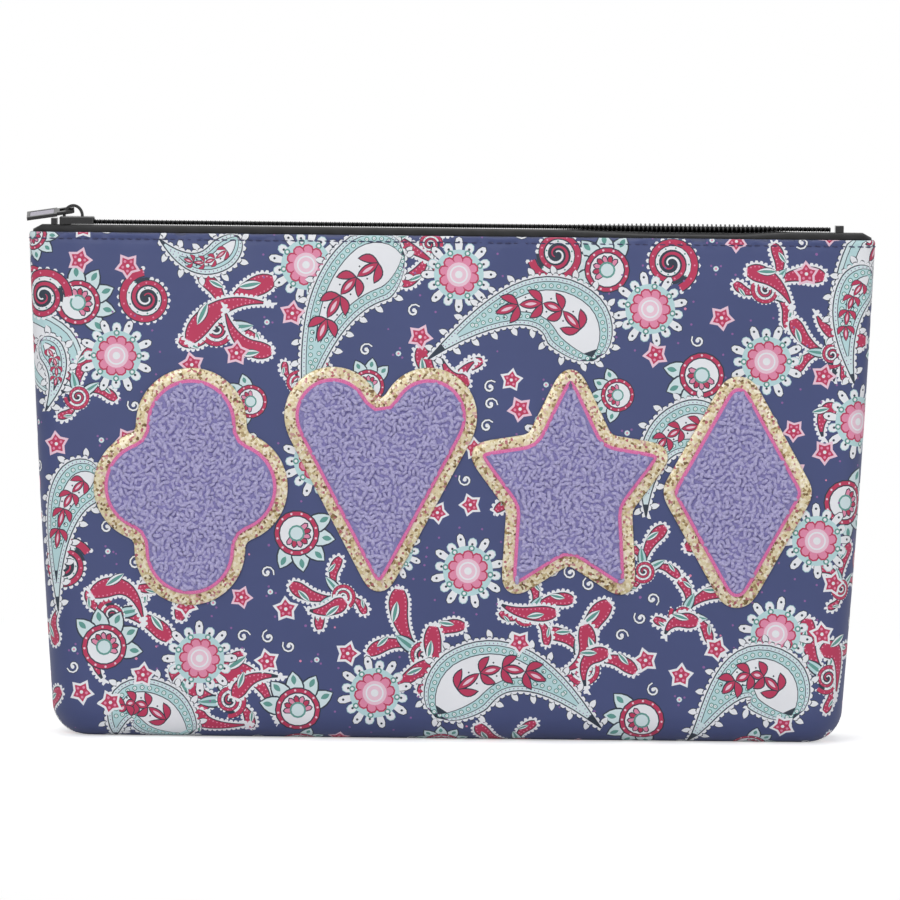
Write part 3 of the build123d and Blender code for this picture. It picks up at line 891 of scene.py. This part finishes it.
def thinned(corners, faces, inks, inside):
    """The same picture with fewer faces: only the lines between two inks are kept, and each
    space between the lines takes the ink that most of its edge asks for."""
    sides = {edge: ink for face, ink in zip(faces, inks) for edge in face_edges(face)}
    left = {}
    for (a, b), ink in sides.items():
        if sides.get((b, a)) != ink:
            left[(a, b)], left[(b, a)] = ink, sides.get((b, a))
    left = straightened(left, corners)
    used = sorted({index for edge in left for index in edge})
    moved = {old: new for new, old in enumerate(used)}
    spots = [Vector(corners[index]) for index in used]
    taken = {(round(v.x / LINE_CLEAR), round(v.y / LINE_CLEAR)) for v in spots}
    for spot in inside:
        if (round(spot.real / LINE_CLEAR), round(spot.imag / LINE_CLEAR)) not in taken:
            spots.append(Vector((spot.real, spot.imag)))
    lines = [edge for edge in left if edge[0] < edge[1]]
    made = delaunay_2d_cdt(spots, [(moved[a], moved[b]) for a, b in lines], [], 0, 1e-5, True)
    votes_of = {}
    for (a, b), origins in zip(made[1], made[4]):
        if origins:
            start, end = lines[origins[0]]
            along = (made[0][b] - made[0][a]).dot(Vector(corners[end]) - Vector(corners[start])) > 0
            votes_of[(a, b)] = left[(start, end) if along else (end, start)]
            votes_of[(b, a)] = left[(end, start) if along else (start, end)]
    across = {edge: number for number, face in enumerate(made[2]) for edge in face_edges(face)}
    poured = {}
    for first in range(len(made[2])):
        if first in poured:
            continue
        poured[first] = None
        pool, votes = [first], {}
        for number in pool:
            for a, b in face_edges(made[2][number]):
                if (a, b) in votes_of:
                    ink = votes_of[(a, b)]
                    votes[ink] = votes.get(ink, 0) + (made[0][a] - made[0][b]).length
                else:
                    other = across.get((b, a))
                    if other is not None and other not in poured:
                        poured[other] = None
                        pool.append(other)
        if votes:
            best = max(votes, key=votes.get)
            for number in pool:
                poured[number] = best
    kept = [number for number in range(len(made[2])) if poured[number] is not None]
    triangles = [tuple(made[2][number]) for number in kept]
    return [(v.x, v.y) for v in made[0]], triangles, [poured[number] for number in kept]


def ink_of(corners, faces, shapes):
    """The ink of each face: that of the last outline laid over its middle."""
    inks = [0] * len(faces)
    cells = {}
    middles = []
    for number, (a, b, c) in enumerate(faces):
        x = (corners[a][0] + corners[b][0] + corners[c][0]) / 3
        y = (corners[a][1] + corners[b][1] + corners[c][1]) / 3
        middles.append((x, y))
        cells.setdefault((int(x // INK_CELL), int(y // INK_CELL)), []).append(number)
    for outline, ink in shapes:
        code = INKS.index(ink)
        low_x, high_x = min(p.real for p in outline), max(p.real for p in outline)
        low_y, high_y = min(p.imag for p in outline), max(p.imag for p in outline)
        sides = list(zip(outline, outline[1:] + outline[:1]))
        columns = range(int(low_x // INK_CELL), int(high_x // INK_CELL) + 1)
        rows = range(int(low_y // INK_CELL), int(high_y // INK_CELL) + 1)
        for cell in ((column, row) for column in columns for row in rows):
            for number in cells.get(cell, ()):
                x, y = middles[number]
                if not (low_x < x < high_x and low_y < y < high_y):
                    continue
                inside = False
                for p, q in sides:
                    if (p.imag > y) != (q.imag > y):
                        if x < (q.real - p.real) * (y - p.imag) / (q.imag - p.imag) + p.real:
                            inside = not inside
                if inside:
                    inks[number] = code
    return inks


def piece(name, mesh):
    """An object made from a bmesh, with its place in its mesh."""
    data = bpy.data.meshes.new(name)
    mesh.to_mesh(data)
    mesh.free()
    made = bpy.data.objects.new(name, data)
    bpy.context.scene.collection.objects.link(made)
    return made


def dress(made, material, slot, body="bag", *nodes):
    """Gives a piece its material and body, and hides the CAD nodes that it stands for. slot is not used."""
    made.data.materials.clear()
    made.data.materials.append(material)
    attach(made, body)
    if nodes:
        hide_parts(*nodes)
    return made


BACK_SHIFT = 48
LINING_TOP = 178.0 + WALL_SHIFT
LINING_GAP = -1.8
SIDES = (("front", -1), ("back", 1))
drawn = print_shapes()
cloth_width = 2 * half_girth(HEM_START) * MM
for word, side in SIDES:
    shift = complex(BACK_SHIFT if side > 0 else 0, 0)
    shapes = laid_on(drawn, shift, half_girth(HEM_START) + 2)
    cloth = shell(word + "_cloth", side, 0, 1.0, CLOTH_END, shapes)
    dress(cloth, canvas, "printed_cloth", "bag", word + "_panel")
for word, side in SIDES:
    liner = shell(word + "_liner", side, LINING_GAP, 0.4, LINING_TOP, fine=2.0)
    dress(liner, lining_cloth, "lining_cloth", "bag", word + "_lining")

# ---------------------------------------------------------------- patches
# Each shape is the space swept by circles that run from one place and radius to another.

# The first number is the patch's place across the panel.

STAR_TIPS = ((0, 38.1), (29.9, 12.1), (-29.9, 12.1), (18.5, -31.7), (-18.5, -31.7))
PATCHES = {
    "flower": (-93.0, [(spot, 20, spot, 20) for spot in ((15, 0), (-15, 0), (0, 22.5), (0, -22.5))]),
    "heart": (-25.0, [((17.2, 26), 17.56, (0, -30.8), 6), ((-17.2, 26), 17.56, (0, -30.8), 6)]),
    "star": (43.0, [((0, 0), 22.2, spot, 5.6) for spot in STAR_TIPS]),
    "diamond": (103.5, [((0, 0), 24.4, spot, 8) for spot in ((18.8, 0), (-18.8, 0), (0, 33.6), (0, -33.6))]),
}
PATCH_MIDDLE = 90.5
GLITTER_BORDER = 4.0
FELT_BORDER = 1.0
GLITTER_FACE = 0.9
FELT_FACE = 1.6
PILE_BED = 2.6
LOOP_PITCH = 1.8
YARN_RADIUS = 0.62
LOOP_RADIUS = 0.85


def swept_outline(sweeps, count=220):
    """The outline round the swept circles, seen from the middle, with its notches eased."""
    found = []
    for number in range(count):
        ray = cmath.rect(1, 2 * math.pi * number / count)
        reach = 0.0
        for start, first, end, last in sweeps:
            for stage in range(13):
                share = stage / 12
                centre = complex(*start) * (1 - share) + complex(*end) * share
                local = centre * ray.conjugate()
                spare = mix(first, last, share) ** 2 - local.imag**2
                if spare > 0:
                    reach = max(reach, local.real + math.sqrt(spare))
        found.append(ray * reach)
    for _ in range(4):
        found = [(found[n - 1] + 2 * p + found[(n + 1) % count]) / 4 for n, p in enumerate(found)]
    total = sum(abs(b - a) for a, b in zip(found, found[1:] + found[:1]))
    return [spot for spot, _ in along_outline(found, total / 150)][:150]


def drawn_in(outline, amount):
    """The outline moved inwards. It runs anticlockwise, so inwards is to its left."""
    count = len(outline)
    moved = []
    for number, spot in enumerate(outline):
        run = outline[(number + 1) % count] - outline[number - 1]
        moved.append(spot + run / abs(run) * 1j * amount)
    return moved


def within(spot, outline):
    """Whether the spot lies inside the outline."""
    inside = False
    for p, q in zip(outline, outline[1:] + outline[:1]):
        if (p.imag > spot.imag) != (q.imag > spot.imag):
            if spot.real < (q.real - p.real) * (spot.imag - p.imag) / (q.imag - p.imag) + p.real:
                inside = not inside
    return inside


def scattered(outline, pitch, draws, jitter):
    """Places in rows inside an outline, each moved a little at random."""
    reach = 60
    spots = []
    rows = int(2 * reach / (pitch * 0.87))
    for row in range(rows):
        for column in range(int(2 * reach / pitch)):
            spot = complex(-reach + (column + 0.5 * (row % 2)) * pitch, -reach + row * pitch * 0.87)
            spot += complex(draws.uniform(-jitter, jitter), draws.uniform(-jitter, jitter)) * pitch
            if within(spot, outline):
                spots.append(spot)
    return spots


def on_front(spot, middle, out):
    """A point of a patch, in metres: spot is about the patch's own middle."""
    return place(spot.real + middle, spot.imag + PATCH_MIDDLE + WALL_SHIFT, out, -1)


def slab(name, outline, middle, low, high, edge):
    """A layer of a patch that follows the panel, with a rounded upper edge."""
    rings = [(outline, low), (outline, high - edge)]
    rings += [(drawn_in(outline, edge * share), high - edge * (0.35 if share < 1 else 0)) for share in (0.35, 1)]
    layer = bmesh.new()
    loops = [[layer.verts.new(on_front(spot, middle, out)) for spot in ring] for ring, out in rings]
    for lower, upper in zip(loops, loops[1:]):
        for number in range(len(lower)):
            after = (number + 1) % len(lower)
            layer.faces.new((lower[number], lower[after], upper[after], upper[number]))
    for ring, verts, out, over in ((rings[-1][0], loops[-1], high, True), (rings[0][0], loops[0], low, False)):
        core = drawn_in(ring, 1.5)
        grid = [complex(x, y) for x in range(-48, 49, 4) for y in range(-52, 53, 4)]
        inside = [spot for spot in grid if within(spot, core)]
        count = len(ring)
        lines = [(n, (n + 1) % count) for n in range(count)]
        made = delaunay_2d_cdt([Vector((p.real, p.imag)) for p in ring + inside], lines, [], 1, 1e-5, False)
        spots = [complex(v.x, v.y) for v in made[0]]
        points = verts + [layer.verts.new(on_front(spot, middle, out)) for spot in spots[count:]]
        for face in made[2]:
            if not within(sum(spots[index] for index in face) / 3, ring):
                continue
            corners = [points[index] for index in face]
            layer.faces.new(corners if over else reversed(corners))
    bmesh.ops.recalc_face_normals(layer, faces=layer.faces)
    for face in layer.faces:
        face.smooth = True
    return piece(name, layer)


def template(mesh):
    """The points and faces of a small shape, ready to be repeated."""
    mesh.verts.index_update()
    shape = ([vert.co.copy() for vert in mesh.verts], [[vert.index for vert in face.verts] for face in mesh.faces])
    mesh.free()
    return shape


def repeated(shape, places):
    """One mesh with the shape at each of the places."""
    points, faces = shape
    whole = bmesh.new()
    for matrix in places:
        made = [whole.verts.new(matrix @ point) for point in points]
        for face in faces:
            whole.faces.new([made[index] for index in face]).smooth = True
    return whole


def yarn_loop():
    """Half a ring of yarn, its ends down in the bed."""
    loop = bmesh.new()
    end = bmesh.ops.create_circle(loop, segments=6, radius=YARN_RADIUS * MM, cap_ends=True)
    bmesh.ops.transform(loop, verts=end["verts"], matrix=Matrix.Translation((LOOP_RADIUS * MM, 0, 0)))
    face = loop.faces[:] if loop.faces else []
    bmesh.ops.spin(
        loop, geom=face + loop.edges[:] + loop.verts[:], cent=(0, 0, 0), axis=(0, -1, 0), dvec=(0, 0, 0),
        angle=math.pi, steps=5, use_duplicate=False,
    )
    bmesh.ops.remove_doubles(loop, verts=loop.verts, dist=0.001 * MM)
    bmesh.ops.recalc_face_normals(loop, faces=loop.faces)
    return template(loop)


def pile(name, outline, middle, draws):
    """A pile of yarn loops, turned every way, over a padded bed."""
    places = []
    rim = drawn_in(outline, 0.9)
    for spot in scattered(rim, LOOP_PITCH, draws, 0.28):
        seat = on_front(spot, middle, PILE_BED - 0.5 + draws.uniform(-0.35, 0.35))
        frame_of = Matrix.Translation(seat) @ Matrix.Rotation(math.radians(90), 4, "X")
        lean = Matrix.Rotation(draws.uniform(-0.7, 0.7), 4, "X") @ Matrix.Rotation(draws.uniform(-0.5, 0.5), 4, "Y")
        size = Matrix.Scale(draws.uniform(0.8, 1.25), 4)
        places.append(frame_of @ lean @ Matrix.Rotation(draws.uniform(0, math.pi), 4, "Z") @ size)
    return piece(name, repeated(yarn_loop(), places))


draws = random.Random(11)
for shape_name, (middle, sweeps) in PATCHES.items():
    outline = swept_outline(sweeps)
    felt_line = drawn_in(outline, GLITTER_BORDER)
    pile_line = drawn_in(outline, GLITTER_BORDER + FELT_BORDER)
    layers = (
        ("_glitter", "_cloth", outline, 0.05, GLITTER_FACE, 0.3, glitter, "glitter_base"),
        ("_felt", "_cloth", felt_line, GLITTER_FACE, FELT_FACE + 0.5, 0.4, felt, "felt_edge"),
        # The pile's bed takes the darker yarn, a painted shade between the loops.
        ("_pile", "_bed", pile_line, FELT_FACE, PILE_BED, 0.9, chenille_shaded_ground, "chenille"),
    )
    for part, kind, line, low, high, edge, finish, slot in layers:
        layer = slab(shape_name + part + kind, line, middle, low, high, edge)
        dress(layer, finish, slot, "bag", shape_name + part)
    dress(pile(shape_name + "_loops", pile_line, middle, draws), chenille, "chenille")

# ---------------------------------------------------------------- zip

TAPE_END = TOP_WIDTH / 2 - 1.4
SLOT_HALF = 1.2
TOOTH_PITCH = 1.6
FIRST_TOOTH = -TOP_WIDTH / 2 + 10.9 + TOOTH_PITCH / 2
LAST_TOOTH = 138.0 - TOOTH_PITCH
THROAT = -134.85
WEDGE_SLOPE = 0.2
TAPE_INSET = 1.35
TAPE_THICKNESS = 0.5
TAPE_ROLL = 1.6       # radius of the tape's turn from the hem towards the teeth
TAPE_FLAT = 183.45    # height of the tape's flat part, under the teeth


def twist(x):
    """How far the chain rolls towards the front, in radians, along the loose right-hand part."""
    rise = min(max((x - 34) / 42, 0), 1)
    fall = min(max((124 - x) / 24, 0), 1)
    smooth = [share * share * (3 - 2 * share) for share in (rise, fall)]
    return 0.36 * smooth[0] * smooth[1]


def rolled(x, y, z, share=1.0):
    """A point of the chain or tape, in metres, after the roll."""
    angle = twist(x) * share
    high = z - CHAIN_LEVEL
    cos, sin = math.cos(angle), math.sin(angle)
    return Vector((x, y * cos - high * sin, CHAIN_LEVEL + high * cos + y * sin)) * MM


def tape_profile(x):
    """(depth, height, share of the roll) down one tape, from the hem in the seam to the teeth."""
    edge = max(0.0, (abs(x) - TAPE_END + 2.5) / 2.5)
    drop = 1.6 * edge * edge
    points = []
    for height in (172.0, 175.0, 178.0, 180.5):
        _, half_width, half_depth, bulge, corner = level(height + WALL_SHIFT, 0)
        flat = half_width - corner
        past = max(0.0, abs(x) - flat + TAPE_INSET)
        depth = half_depth + bulge * max(0, 1 - (x / flat) ** 2)
        depth += math.sqrt(max(corner**2 - past**2, 0.1)) - corner - TAPE_INSET
        points.append((max(depth, SLOT_HALF + 1.8), height, 0.0))
    depth = points[-1][0]
    for turn in (0.0, 22.5, 45.0, 67.5, 90.0):
        angle = math.radians(turn)
        height = 181.8 + TAPE_ROLL * math.sin(angle) - drop
        points.append((depth - TAPE_ROLL * (1 - math.cos(angle)), height, turn / 90))
    for share in (0.35, 0.7, 1.0):
        points.append((mix(depth - TAPE_ROLL, SLOT_HALF, share), TAPE_FLAT - drop, 1.0))
    return points


def tape(name, side):
    """One zip tape, from the seam up to the teeth."""
    columns = steps(-TAPE_END, TAPE_END, 3.0)
    rows = len(tape_profile(0.0))
    cloth = bmesh.new()
    bmesh.ops.create_grid(cloth, x_segments=len(columns) - 1, y_segments=rows - 1, size=0.5)
    for vert in cloth.verts:
        x = columns[round((vert.co.x + 0.5) * (len(columns) - 1))]
        depth, height, share = tape_profile(x)[round((vert.co.y + 0.5) * (rows - 1))]
        vert.co = rolled(x, side * depth, height, share)
    if side > 0:
        bmesh.ops.reverse_faces(cloth, faces=cloth.faces)
    for face in cloth.faces:
        face.smooth = True
    bmesh.ops.solidify(cloth, geom=cloth.faces[:], thickness=TAPE_THICKNESS * MM)
    return piece(name, cloth)


def tooth(side):
    """One turn of the coil: a rounded bar with a swollen head that hooks over the middle."""
    bar = bmesh.new()
    bmesh.ops.create_cube(bar, size=1.0)
    bmesh.ops.transform(bar, verts=bar.verts, matrix=Matrix.Diagonal((0.62, 2.9, 1.7, 1.0)))
    for vert in bar.verts:
        if vert.co.y * side < 0:
            vert.co.x *= 1.35
        vert.co.y += side * 1.03
        vert.co.z += TAPE_TOP + 0.95
    bmesh.ops.bevel(bar, geom=bar.edges[:], offset=0.26, segments=1, profile=0.5, affect="EDGES", material=-1)
    return template(bar)


def coil(name, side, first):
    """A row of teeth. Inside the slider the row stands aside for the wedge."""
    points, faces = tooth(side)
    row = bmesh.new()
    tone = row.loops.layers.float_color.new("tone")
    # pale is a painted highlight: the glint on the outer bend of each turn of the coil.
    dark, pale = linear("#08080a"), linear("#b4b4b8")
    for number in range(int((LAST_TOOTH - first) / TOOTH_PITCH) + 1):
        x = first + number * TOOTH_PITCH
        aside = side * max(0, THROAT - x) * WEDGE_SLOPE
        made = [row.verts.new(rolled(x + point.x, point.y + aside, point.z)) for point in points]
        for face in faces:
            corners = [points[index] for index in face]
            # The outer, lower faces of each turn carry the painted highlight in pale grey.
            outer = all(corner.y * side > 2.1 for corner in corners)
            low = sum(corner.z for corner in corners) / len(corners) < TAPE_TOP + 0.8
            new = row.faces.new([made[index] for index in face])
            new.smooth = True
            for corner in new.loops:
                corner[tone] = pale if outer and low else dark
    bmesh.ops.recalc_face_normals(row, faces=row.faces)
    return piece(name, row)


for word, side in SIDES:
    tape_cloth = dress(tape(word + "_tape_cloth", side), webbing, "zip_tape", "bag", word + "_tape")
    first = FIRST_TOOTH + (TOOTH_PITCH / 2 if side > 0 else 0)
    dress(coil(word + "_coil", side, first), coil_nylon, "zip_coil", "bag", word + "_teeth")


STITCH_PITCH = 3.1
THREAD_OUT = 0.12


def stitch_line(name, side):
    """The line of lockstitches that holds the panel to the tape."""
    bead = bmesh.new()
    bmesh.ops.create_icosphere(bead, subdivisions=2, radius=0.5)
    bmesh.ops.transform(bead, verts=bead.verts, matrix=Matrix.Diagonal((2.4 * MM, 0.5 * MM, 0.55 * MM, 1.0)))
    shape = template(bead)
    places = []
    reach = half_girth(STITCH_LEVEL + WALL_SHIFT) - 4
    for across in steps(-reach, reach, STITCH_PITCH):
        start = place(across - 0.5, STITCH_LEVEL + WALL_SHIFT, THREAD_OUT, side)
        end = place(across + 0.5, STITCH_LEVEL + WALL_SHIFT, THREAD_OUT, side)
        run = end - start
        places.append(Matrix.Translation((start + end) / 2) @ run.to_track_quat("X", "Z").to_matrix().to_4x4())
    return piece(name, repeated(shape, places))


for word, side in SIDES:
    dress(stitch_line(word + "_stitches", side), seam_thread, "printed_cloth")

for name in ("front_top_stop", "back_top_stop", "bottom_stop", "slider_body", "pull_tab"):
    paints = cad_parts[name].data.materials
    paints.clear()
    paints.append(worn_enamel if name == "pull_tab" else black_enamel)

# The pale face let into the pull, on the pull's own plane: its pale grey is a painted reflection of the light on the
# recessed face.
DROOP = math.radians(8.5)
ROLL = math.radians(15.0)
PULL_AXIS = Vector((-137.1, 0.0, 188.726))
along = Vector((-math.cos(DROOP), 0, -math.sin(DROOP)))
up = Vector((-math.sin(DROOP) * math.cos(ROLL), -math.sin(ROLL), math.cos(DROOP) * math.cos(ROLL)))
across = up.cross(along)
pull_frame = Matrix((along, across, up)).transposed().to_4x4()
pull_frame.translation = PULL_AXIS
plate = bmesh.new()
bmesh.ops.create_cube(plate, size=1.0)
bmesh.ops.transform(plate, verts=plate.verts, matrix=Matrix.Diagonal((8.7, 5.1, 0.22, 1.0)))
bmesh.ops.translate(plate, verts=plate.verts, vec=(11.0, 0, 0.42))
bmesh.ops.bevel(plate, geom=plate.edges[:], offset=0.1, segments=2, profile=0.5, affect="EDGES", material=-1)
bmesh.ops.transform(plate, verts=plate.verts, matrix=Matrix.Scale(MM, 4) @ pull_frame)
dress(piece("pull_face", plate), reflection_painted_face, "pull_metal", "pull")

# ---------------------------------------------------------------- camera, floor and light

# A pale floor that fades into a white surround, as in the photograph.
floor_mesh = bmesh.new()
bmesh.ops.create_grid(floor_mesh, x_segments=2, y_segments=2, size=4.0)
floor = piece("floor", floor_mesh)
floor_paint, tree, shader = finish_of("floor_paint", Base_Color=linear("#f6f6f6"), Roughness=0.9)
own = node(tree, "ShaderNodeTexCoord").outputs["Object"]
far = node(tree, "ShaderNodeVectorMath", {"operation": "LENGTH"}, {0: own})
fade = node(tree, "ShaderNodeMapRange", {"From Min": 0.2, "From Max": 0.45}, {"Value": far.outputs["Value"]})
to_camera = node(tree, "ShaderNodeLightPath").outputs["Is Camera Ray"]
pale = node(tree, "ShaderNodeMath", {"operation": "MULTIPLY"}, {0: fade.outputs["Result"], 1: to_camera})
white = node(tree, "ShaderNodeEmission")
lift = node(tree, "ShaderNodeMapRange", {"To Max": 0.5}, {"Value": to_camera})
shader.inputs["Emission Color"].default_value = (1, 1, 1, 1)
tree.links.new(lift.outputs["Result"], shader.inputs["Emission Strength"])
blended = node(tree, "ShaderNodeMixShader", {}, {"Fac": pale.outputs[0], 1: shader.outputs[0], 2: white.outputs[0]})
tree.links.new(blended.outputs[0], tree.nodes["Material Output"].inputs["Surface"])
floor.data.materials.append(floor_paint)

world = bpy.data.worlds.new("studio")
bpy.context.scene.world = world
world.use_nodes = True
tree = world.node_tree
ground = tree.nodes["Background"]
ground.inputs["Color"].default_value = (1, 1, 1, 1)
rays = node(tree, "ShaderNodeLightPath").outputs
straight = {0: rays["Is Camera Ray"], 1: rays["Is Glossy Ray"]}
seen = node(tree, "ShaderNodeMath", {"operation": "MAXIMUM"}, straight)
through = {0: seen.outputs[0], 1: rays["Is Transmission Ray"]}
seen = node(tree, "ShaderNodeMath", {"operation": "MAXIMUM"}, through)
power = node(tree, "ShaderNodeMapRange", {"To Min": 0.4, "To Max": 1.0}, {"Value": seen.outputs[0]})
tree.links.new(power.outputs["Result"], ground.inputs["Strength"])


def lamp(name, where, target, size, watts):
    """A square lamp, turned towards its target."""
    light = bpy.data.lights.new(name, "AREA")
    light.shape = "SQUARE"
    light.size = size
    light.energy = watts
    made = bpy.data.objects.new(name, light)
    bpy.context.scene.collection.objects.link(made)
    made.location = where
    made.rotation_euler = (Vector(target) - Vector(where)).to_track_quat("-Z", "Y").to_euler()


middle = (0.0, 0.0, 0.09)
lamp("key_light", (-0.5, -1.1, 0.9), middle, 0.7, 5.0)
lamp("fill_light", (0.9, -1.0, 0.5), middle, 0.9, 2.2)
lamp("top_light", (0.0, 0.1, 1.2), middle, 0.8, 3.0)

# The photograph's view: straight on, a little above, with a slight roll.
VIEW_DISTANCE = 2.4
VIEW_LIFT = math.radians(4.0)
VIEW_ROLL = math.radians(-0.62)
VIEW_WIDTH = 0.3221
AIM = Vector((0.0, -0.0245, 0.1051))
view_data = bpy.data.cameras.new("photo_view")
view_data.lens = view_data.sensor_width * VIEW_DISTANCE / VIEW_WIDTH
view_data.clip_end = 20.0
photo_view = bpy.data.objects.new("photo_view", view_data)
bpy.context.scene.collection.objects.link(photo_view)
back_from = Vector((0, -math.cos(VIEW_LIFT), math.sin(VIEW_LIFT)))
photo_view.location = AIM + back_from * VIEW_DISTANCE
turned = (-back_from).to_track_quat("-Z", "Y").to_matrix().to_4x4() @ Matrix.Rotation(-VIEW_ROLL, 4, "Z")
photo_view.rotation_euler = turned.to_euler()
bpy.context.scene.camera = photo_view
bpy.context.scene.view_settings.view_transform = "Standard"
